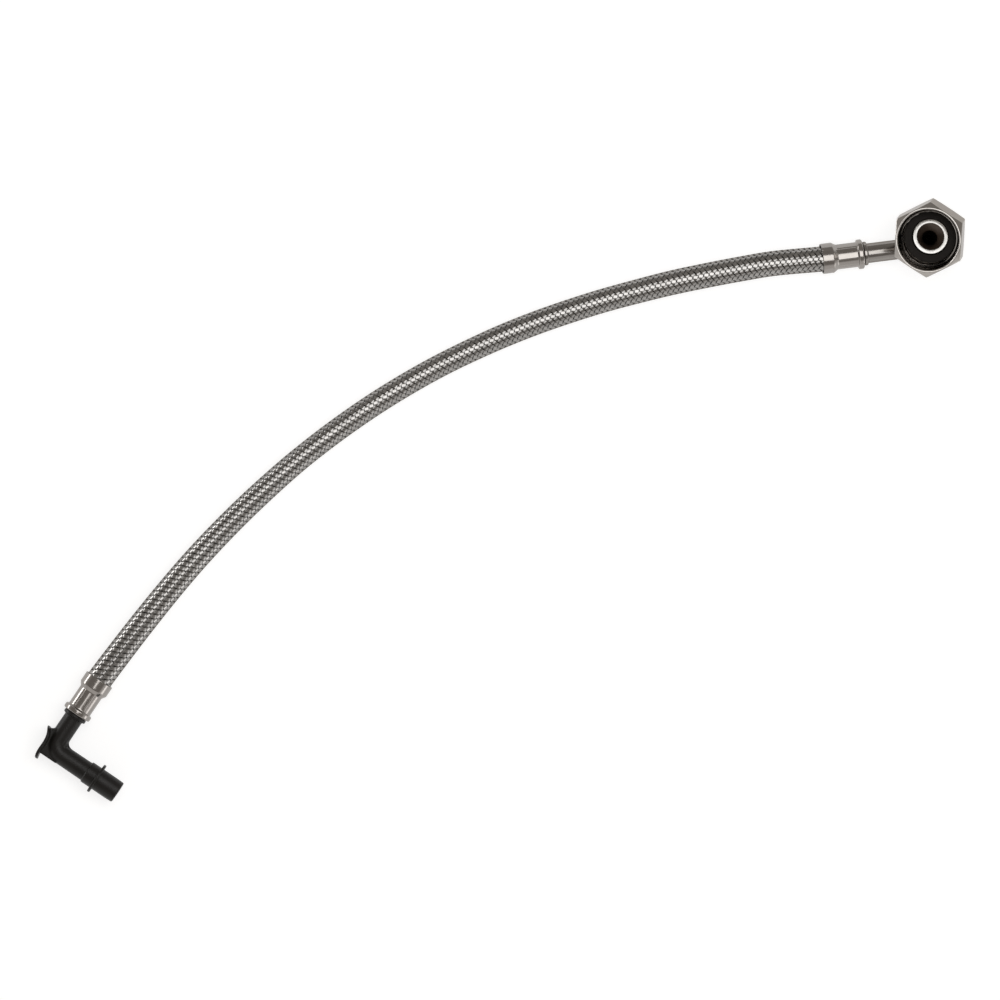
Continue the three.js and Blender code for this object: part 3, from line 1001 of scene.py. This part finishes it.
    def carrier_section(self, graph: Graph, given: bpy.types.NodeOutputs) -> bpy.types.Node:
        """Adds the nodes of a carrier's section: a row of wires with a plain underside.

        Args:
            graph: The tree.
            given: The tree's inputs.

        Returns:
            The node with the section.
        """
        ridge = graph.math("MULTIPLY", given["Wires"], 2.0)
        count = graph.math("ADD", ridge, 2.0)
        circle = graph.add("GeometryNodeCurvePrimitiveCircle", {"Resolution": count})
        index = graph.add("GeometryNodeInputIndex")
        below = graph.math("GREATER_THAN", index, ridge)
        above = graph.math("SUBTRACT", 1.0, below)
        share = graph.math("SUBTRACT", graph.math("DIVIDE", index, ridge), 0.5)
        across = graph.math("MULTIPLY", share, above)
        peak = graph.math("MULTIPLY", graph.math("MODULO", index, 2.0), self.wire_relief)
        top = graph.math("MULTIPLY", graph.math("ADD", peak, 0.2), above)
        height = graph.math("SUBTRACT", top, graph.math("MULTIPLY", below, 0.5))
        spot = graph.add("ShaderNodeCombineXYZ", {
            0: graph.math("MULTIPLY", height, given["Wire Diameter"]),
            1: graph.math("MULTIPLY", across, given["Width"]),
        })
        kept = graph.stored(circle, "across", across)
        return graph.add("GeometryNodeSetPosition", {"Geometry": kept, "Position": spot})


# Fittings


@dataclass
class Ferrule:
    """A crimped sleeve: a wide collar, a shoulder, the crimped stretch and a rolled bead."""

    name: str
    node: str
    place: Matrix
    length: float = 19.0
    wall: float = 0.5
    collar_radius: float = 6.95
    collar_length: float = 5.0
    shoulder_length: float = 1.9
    crimp_radius: float = 5.72
    bead_radius: float = 6.8
    bead_length: float = 2.7
    jaws: int = 8
    jaw_flatness: float = 0.1  # from 0, round, to 1, flat
    jaw_depth: float = 0.006  # of the radius
    ridge_height: float = 0.016  # of the radius
    ridge_width: float = 0.07  # of a jaw
    marks_start: float = 0.6  # share of the shoulder where the jaws' marks begin
    marks_fades: Pair = (0.8, 0.5)  # lengths over which they grow and end
    marks_step: float = 0.4
    sides: int = 256

    def build(self) -> None:
        """Makes the sleeve."""
        bead_start = self.length - self.bead_length
        crimp_start = self.collar_length + self.shoulder_length
        outside = rounded([
            (self.collar_radius - self.wall, 0.0, 0.2), (self.collar_radius, 0.0, 0.25),
            (self.collar_radius, self.collar_length, 1.2), (self.crimp_radius, crimp_start, 1.2),
            (self.crimp_radius, bead_start, 0.5), (self.bead_radius, bead_start + 0.35, 0.9),
            (self.bead_radius, self.length, 1.1), (self.crimp_radius - self.wall, self.length, 0.3),
            (self.crimp_radius - self.wall, crimp_start, 0.8),
            (self.collar_radius - self.wall, self.collar_length - 0.3, 0.8),
        ], steps=6, closed=True)
        skin = Skin(self.place)
        skin.add(turned(self.filled(outside), self.sides, self.jaw_marks), loop=True)
        material = PRESSED_STEEL.material(self.place)
        finished(skin.mesh(self.name), Body.HOSE, [self.node], [material])

    def filled(self, profile: np.ndarray) -> np.ndarray:
        """Puts points into the crimped stretch so that the jaws' marks can show.

        Args:
            profile: The sleeve's profile.

        Returns:
            The profile with no long step.
        """
        line = []
        for here, ahead in zip(profile, np.roll(profile, -1, axis=0)):
            steps = max(1, math.ceil(np.linalg.norm(ahead - here) / self.marks_step))
            line += [here + (ahead - here) * step / steps for step in range(steps)]
        return np.array(line)

    def jaw_marks(self, radius: np.ndarray, along: np.ndarray, angle: np.ndarray) -> np.ndarray:
        """Presses the flats of the jaws and the ridges between them into the crimped stretch.

        Args:
            radius: The radii of the turned sleeve.
            along: Distances from the mouth.
            angle: Angles round the axis.

        Returns:
            The pressed radii.
        """
        start = self.collar_length + self.shoulder_length * self.marks_start
        end = self.length - self.bead_length
        grown = np.clip((along - start) / self.marks_fades[0], 0, 1)
        zone = grown * np.clip((end - along) / self.marks_fades[1], 0, 1)
        turn = (angle * self.jaws / (2 * math.pi) + 0.5) % 1.0 - 0.5
        flat = 1 / np.cos(turn * 2 * math.pi / self.jaws) - 1
        ridge = np.exp(-((np.abs(turn) - 0.5) / self.ridge_width) ** 2)
        change = self.jaw_flatness * flat - self.jaw_depth + self.ridge_height * ridge
        return radius * (1 + zone * change)


@dataclass
class BentTail:
    """The bent metal tail with its stop bead, collar and boss."""

    place: Matrix
    ferrule_end: float = 19.3
    stem_radius: float = 4.95
    stem_length: float = 4.0
    bead_radius: float = 5.4
    bead_length: float = 1.6
    tube_radius: float = 4.5
    tube_bore: float = 3.2
    leg_distance: float = 47.7
    bend_radius: float = 11.0
    collar_height: float = 17.2
    collar_radius: float = 11.5
    collar_thickness: float = 2.5
    boss_radius: float = 8.05
    boss_height: float = 3.0
    cone_radius: float = 6.3
    cone_depth: float = 3.2
    faced_depth: float = 0.4  # of the boss's faced end with its rounded edges
    faced_slope: float = 0.4  # least share of a face's normal that points along the boss

    def leg(self) -> Matrix:
        """Gives the frame that lays a turned piece on the upright leg."""
        foot = Matrix.Translation((0.0, self.leg_distance, 0.0))
        return foot @ Matrix.Rotation(math.pi / 2, 4, "X")

    def build(self) -> None:
        """Makes the tail."""
        skin = Skin(self.place)
        end, stem_start = self.ferrule_end, self.ferrule_end - self.stem_length
        skin.add(turned(rounded([
            (0.0, stem_start, 0.0), (self.stem_radius, stem_start, 0.2),
            (self.stem_radius, end - 0.6, 0.2), (4.3, end - 0.1, 0.1),
            (self.bead_radius, end, 0.7), (self.bead_radius, end + self.bead_length, 0.7),
            (self.tube_radius - 0.05, end + self.bead_length + 0.2, 0.4),
            (self.tube_radius - 0.1, end + 3.0, 0.0), (0.0, end + 3.0, 0.0),
        ], steps=6)))
        radii = (self.tube_radius, self.tube_bore)
        outside, inside = (swept(self.axis(), radius, 96, (1.0, 0.0, 0.0)) for radius in radii)
        skin.add(np.concatenate([outside, inside[::-1]]), loop=True)
        low, top = self.collar_height, self.collar_height + self.collar_thickness
        boss_top = top + self.boss_height
        skin.add(turned(rounded([
            (self.tube_radius - 0.2, low - 0.3, 0.0), (self.tube_radius + 0.9, low, 0.6),
            (self.collar_radius, low, 0.4), (self.collar_radius, top, 0.3),
            (self.boss_radius, top, 0.2), (self.boss_radius, boss_top, 0.35),
            (self.cone_radius, boss_top, 0.2), (self.tube_bore, boss_top - self.cone_depth, 1.0),
            (self.tube_bore - 0.05, low - 0.3, 0.0),
        ], closed=True), sides=160), loop=True, place=self.leg())
        mesh = skin.mesh("bent_tail")
        self.sort_mouth(mesh, boss_top)
        materials = [finish.material(self.place) for finish in (DRAWN_TUBE, BORE_PAINTED_SHADE, FACED_END_PAINTED_LIGHT)]
        finished(mesh, Body.HOSE, ["elbow_tail"], materials)

    def sort_mouth(self, mesh: bpy.types.Mesh, boss_top: float) -> None:
        """Gives the second material, with painted shade, to the upright bore and the third, with
        painted light, to the boss's faced end.

        Args:
            mesh: The tail's mesh, in place.
            boss_top: Height of the boss's end above the straight tube's axis.
        """
        leg = (self.place @ self.leg()).inverted()
        turn = leg.to_3x3()
        for face in mesh.polygons:
            spot, way = leg @ (face.center / MM), turn @ face.normal
            upright = spot.y > self.bend_radius and math.hypot(spot.x, spot.z) < self.cone_radius
            inward = spot.x * way.x + spot.z * way.z < 0
            # Painted light on the faced end (material 2) and painted shade in the bore (material
            # 1).
            if spot.y > boss_top - self.faced_depth and way.y > self.faced_slope:
                face.material_index = 2
            elif upright and inward:
                face.material_index = 1

    def axis(self) -> np.ndarray:
        """Draws the axis of the bent tube.

        Returns:
            Its points, from the bead to the collar.
        """
        radius = self.bend_radius
        start = self.leg_distance - radius
        distances = np.linspace(self.ferrule_end + self.bead_length, start, 12)
        straight = [(0.0, y, 0.0) for y in distances]
        bend = [
            (0.0, start + radius * math.sin(turn), radius * (1 - math.cos(turn)))
            for turn in np.linspace(0.0, math.pi / 2, 25)[1:]
        ]
        heights = np.linspace(radius, self.collar_height, 5)[1:]
        upright = [(0.0, self.leg_distance, z) for z in heights]
        return np.array([*straight, *bend, *upright])


@dataclass
class FlatSeal:
    """The flat rubber seal round the tail's boss."""

    place: Matrix
    bottom: float = 20.0
    thickness: float = 2.0
    radius: float = 11.7
    bore: float = 8.35

    def build(self) -> None:
        """Makes the seal."""
        top = self.bottom + self.thickness
        skin = Skin(self.place)
        skin.add(turned(rounded([
            (self.bore, self.bottom, 0.25), (self.radius, self.bottom, 0.35),
            (self.radius, top, 0.35), (self.bore, top, 0.25),
        ], closed=True), sides=160), loop=True)
        material = SEAL_RUBBER.material(self.place)
        finished(skin.mesh("seal"), Body.HOSE, ["flat_seal"], [material])


@dataclass
class SwivelNut:
    """The hexagonal nut with a female pipe thread, in its own frame with its back at z = 0."""

    turn: float = 86.7
    across_flats: float = 30.0
    height: float = 19.0
    back_wall: float = 2.8
    hole_radius: float = 9.3
    face_radius: float = 14.6
    mouth_radius: float = 14.1
    mouth_chamfer: float = 0.4
    counterbore_depth: float = 2.4
    run_in: float = 4.6
    minor_radius: float = 12.05
    major_radius: float = 13.2
    pitch: float = 1.814
    groove_fullness: float = 1.25  # above 1, the groove has a flat bottom
    crest_share: float = 0.1  # of the groove's depth, cut off to leave a flat crest
    relief_length: float = 2.0
    chamfer_angle: float = 30.0
    chamfer_zone: float = 2.2
    middle_margin: float = 3.0
    middle_rows: int = 8
    row_step: float = 0.12
    edge_hardness: float = 150.0  # higher makes the edges between the faces sharper
    sides: int = 300

    def place(self) -> Matrix:
        """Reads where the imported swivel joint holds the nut.

        Returns:
            The nut's frame.
        """
        joint = frame["joints"][0]
        axis = Vector(joint["axis"])
        turn = Vector((0.0, 0.0, 1.0)).rotation_difference(axis).to_matrix().to_4x4()
        middle = Matrix.Translation(Vector(joint["pos_m"]) / MM)
        return middle @ turn @ Matrix.Rotation(math.radians(self.turn), 4, "Z")

    def build(self) -> None:
        """Makes the nut."""
        angle = np.linspace(0.0, 2 * math.pi, self.sides, endpoint=False)
        points = np.array([
            np.column_stack([radius * np.cos(angle), radius * np.sin(angle), 0 * angle + height])
            for radius, height in (*self.outside(angle), *self.inside(angle))
        ])
        place = self.place()
        mesh = Skin(place).add(points, loop=True).mesh("swivel_nut")
        material = PLATED_BRASS.material(place)
        finished(mesh, Body.NUT, ["union_nut"], [material], sharp=50.0)

    def outside(self, angle: np.ndarray) -> list[tuple[np.ndarray, float]]:
        """Gives the rows of the hexagon with its corners chamfered at both ends.

        Args:
            angle: Angles round the axis.

        Returns:
            Rows as (radii, height), from the back to the front.
        """
        flats = math.radians(30) + np.arange(6) * math.radians(60)
        least = 0.01  # keeps the flats that face away out of the sum
        nearness = np.maximum(np.cos(angle[:, None] - flats), least) / (self.across_flats / 2)
        slope = 1 / math.tan(math.radians(self.chamfer_angle))
        ends = np.arange(0.0, self.chamfer_zone, self.row_step)
        middle_end = self.height - self.middle_margin
        middle = np.linspace(self.middle_margin, middle_end, self.middle_rows)
        heights = [*ends, *middle, *(self.height - ends[::-1])]
        rows = []
        for height in heights:
            cone = self.face_radius + min(height, self.height - height) * slope
            total = (nearness ** self.edge_hardness).sum(axis=1) + cone ** -self.edge_hardness
            rows.append((total ** (-1 / self.edge_hardness), height))
        return rows

    def inside(self, angle: np.ndarray) -> list[tuple[np.ndarray, float]]:
        """Gives the rows of the mouth, the thread, the relief and the hole.

        Args:
            angle: Angles round the axis.

        Returns:
            Rows as (radii, height), from the front to the back.
        """
        plain = np.ones(self.sides)
        smooth = self.mouth_radius - self.mouth_chamfer
        rows = [
            (plain * (self.mouth_radius + 0.1), self.height),
            (plain * self.mouth_radius, self.height - 0.1),
            (plain * (smooth + 0.05), self.height - self.mouth_chamfer),
            (plain * smooth, self.height - 0.6),
        ]
        floor = self.back_wall + self.relief_length
        start = self.height - self.counterbore_depth
        for height in np.arange(start, floor, -self.row_step):
            phase = (height / self.pitch - angle / (2 * math.pi)) % 1.0
            wave = 0.5 - 0.5 * np.cos(2 * math.pi * phase)
            groove = np.clip(self.groove_fullness * wave - self.crest_share, 0.0, 1.0)
            rise = min(1.0, (start - height) / self.run_in)
            crest = smooth + (self.minor_radius - smooth) * rise
            cut = crest + (self.major_radius - crest) * groove * rise
            rows.append((np.maximum(crest, cut), height))
        rows += [
            (plain * self.major_radius, floor), (plain * self.major_radius, self.back_wall + 0.3),
            (plain * (self.major_radius - 0.3), self.back_wall),
            (plain * (self.hole_radius + 0.2), self.back_wall),
            (plain * self.hole_radius, self.back_wall - 0.2), (plain * self.hole_radius, 0.3),
            (plain * (self.hole_radius + 0.3), 0.0),
        ]
        return rows


@dataclass
class PlugElbow:
    """The moulded elbow: a barrel from the hose, one that ends in the plug, and a thumb plate."""

    place: Matrix
    ferrule_end: float = 19.3
    stem_radius: float = 4.95
    stem_length: float = 4.0
    collar_radius: float = 5.6
    collar_length: float = 1.6
    crossing: float = 38.1
    upper_radius: float = 4.45
    lower_radius: float = 4.7
    plate_thickness: float = 1.4
    plate_height: float = 13.4
    plate_half_span: float = 7.7
    plate_corner: float = 4.0
    plate_line: tuple[Pair, ...] = ((4.5, 7.7), (5.3, 0.0), (5.6, -3.2), (8.0, -7.7))
    web_thickness: float = 1.6
    web_radius: float = 2.8
    bend_radius: float = 4.9
    gusset_thickness: float = 6.2
    gusset_line: tuple[Pair, ...] = (
        (-4.9, -4.9), (0.0, -9.6), (4.25, -8.6), (5.4, -7.6), (6.6, -7.2), (5.2, -3.2), (4.6, 0.0),
    )
    step_start: float = 19.0
    plug_radius: float = 5.25
    plug_bore: float = 3.7
    plug_bore_depth: float = 9.0
    flange_distance: float = 24.2
    flange_radius: float = 7.25
    flange_thickness: float = 1.25
    tip: float = 35.8
    voxel: float = 0.24  # size of the cells that join the shells into one moulding
    melting: int = 14  # smoothing steps that round its inner corners

    def lower(self) -> Matrix:
        """Gives the frame that lays a turned piece along the lower barrel."""
        return Matrix.Translation((0.0, self.crossing, 0.0)) @ Matrix.Rotation(math.pi / 2, 4, "Z")

    def build(self) -> None:
        """Makes the elbow's body and its plug."""
        self.body()
        self.plug()

    def body(self) -> None:
        """Makes the barrels, the plate and the web as one moulding with soft inner corners."""
        end, stem_start = self.ferrule_end, self.ferrule_end - self.stem_length
        collar_end = end + self.collar_length
        axis = self.axis()
        radii = np.interp(
            np.arange(len(axis)), [0, len(axis) - 1], [self.upper_radius, self.lower_radius],
        )
        skin = Skin(self.place)
        skin.add(turned(rounded([
            (0.0, stem_start, 0.0), (self.stem_radius, stem_start, 0.2),
            (self.stem_radius, end - 0.5, 0.3), (self.collar_radius, end, 0.3),
            (self.collar_radius, collar_end, 0.3), (self.upper_radius, collar_end, 0.3),
            (self.upper_radius, collar_end + 2.0, 0.0), (0.0, collar_end + 2.0, 0.0),
        ]), sides=64))
        skin.add(swept(axis, radii, 64, (0.0, 0.0, 1.0)))
        skin.add(self.plate())
        skin.add(self.web())
        skin.add(self.gusset())
        rough = shown("rough", skin.mesh("rough"))
        remesh = rough.modifiers.new("remesh", "REMESH")
        remesh.mode = "VOXEL"
        remesh.voxel_size = self.voxel * MM
        smooth = rough.modifiers.new("smooth", "SMOOTH")
        smooth.iterations = self.melting
        mesh = applied(rough, "elbow_body")
        material = BLACK_PLASTIC.material(self.place)
        finished(mesh, Body.HOSE, ["plug_elbow"], [material], sharp=180.0)

    def plate(self) -> np.ndarray:
        """Shapes the thumb plate, whose outline has round corners.

        Returns:
            Rows of points round it.
        """
        known = np.array(self.plate_line)
        fit = np.polyfit(known[:, 1], known[:, 0], 3)
        rows = []
        for share in np.linspace(-1.0, 1.0, 41):
            y = share * self.plate_half_span
            beyond = max(0.0, abs(y) - (self.plate_half_span - self.plate_corner))
            corner = math.sqrt(max(0.0, self.plate_corner ** 2 - beyond ** 2))
            half = self.plate_height / 2 - self.plate_corner + corner
            back = float(np.polyval(fit, y))
            front = back - self.plate_thickness
            loop = [(front, -half), (back, -half), (back, half), (front, half)]
            rows.append([(x, self.crossing + y, z) for x, z in loop])
        return np.array(rows)

    def axis(self) -> np.ndarray:
        """Draws the axis of the bent barrel.

        Returns:
            Its points, from the collar to the plug's step.
        """
        bend = self.bend_radius
        distances = np.linspace(self.ferrule_end + 1.0, self.crossing - bend, 12)[:-1]
        down = [(0.0, y, 0.0) for y in distances]
        turn = [
            (-bend + bend * math.cos(angle), self.crossing - bend + bend * math.sin(angle), 0.0)
            for angle in np.linspace(0.0, math.pi / 2, 17)
        ]
        along = [(x, self.crossing, 0.0) for x in np.linspace(-bend, -self.step_start, 12)[1:]]
        return np.array([*down, *turn, *along])

    def slab(self, outline: Sequence[Pair], thickness: float) -> np.ndarray:
        """Gives an outline a thickness, half to each side of the elbow's plane.

        Args:
            outline: The outline in that plane.
            thickness: The thickness.

        Returns:
            Rows of points round the slab.
        """
        return np.array([[(x, y, z) for x, y in outline] for z in (-thickness / 2, thickness / 2)])

    def web(self) -> np.ndarray:
        """Shapes the thin web in the inner corner.

        Returns:
            Rows of points round it.
        """
        radius = self.web_radius
        x, y = -self.upper_radius - radius, self.crossing - self.lower_radius - radius
        hollow = [
            (x + radius * math.cos(turn), y + radius * math.sin(turn))
            for turn in np.linspace(0.0, math.pi / 2, 9)
        ]
        inner = (-self.upper_radius + 1.0, self.crossing - self.lower_radius + 1.0)
        return self.slab([(inner[0], y), *hollow, (x, inner[1]), inner], self.web_thickness)

    def gusset(self) -> np.ndarray:
        """Shapes the thick rib that carries the thumb plate behind the bend.

        Returns:
            Rows of points round it.
        """
        end = self.crossing + self.lower_radius - 0.05
        edge = [(x, self.crossing + y) for x, y in self.gusset_line]
        return self.slab([(-self.bend_radius, end), *edge, (4.0, end)], self.gusset_thickness)

    def plug(self) -> None:
        """Makes the thicker end of the lower barrel with its flange, round tip and bore."""
        start = self.flange_distance - self.flange_thickness / 2
        end = self.flange_distance + self.flange_thickness / 2
        bore_end = self.tip - self.plug_bore_depth
        place = self.place @ self.lower()
        skin = Skin(place)
        skin.add(turned(rounded([
            (self.lower_radius - 0.4, self.step_start - 1.2, 0.0),
            (self.lower_radius + 0.02, self.step_start - 0.5, 0.2),
            (self.plug_radius, self.step_start, 0.3), (self.plug_radius, start, 0.25),
            (self.flange_radius, start, 0.45), (self.flange_radius, end, 0.45),
            (self.plug_radius, end, 0.25), (self.plug_radius, self.tip - 3.2, 0.5),
            (self.plug_radius - 0.15, self.tip, 1.9), (self.plug_bore, self.tip, 0.3),
            (self.plug_bore, bore_end, 0.2), (0.0, bore_end - 0.1, 0.0),
        ]), sides=128))
        material = BLACK_PLASTIC.material(place)
        finished(skin.mesh("elbow_plug"), Body.HOSE, ["plug_elbow"], [material])


def main() -> None:
    """Builds the studio and the object."""
    logging.basicConfig(level=logging.INFO, format="%(message)s")
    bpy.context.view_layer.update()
    Studio().build()
    places = Places()
    plug_end, nut_end = places.plug_end(), places.nut_end()
    Ferrule("plug_ferrule", "plug_end_ferrule", plug_end).build()
    Ferrule("nut_ferrule", "nut_end_ferrule", nut_end).build()
    PlugElbow(plug_end).build()
    tail = BentTail(nut_end)
    tail.build()
    FlatSeal(nut_end @ tail.leg()).build()
    SwivelNut().build()
    BraidedHose(places).build()


if __name__ == "__main__":
    main()
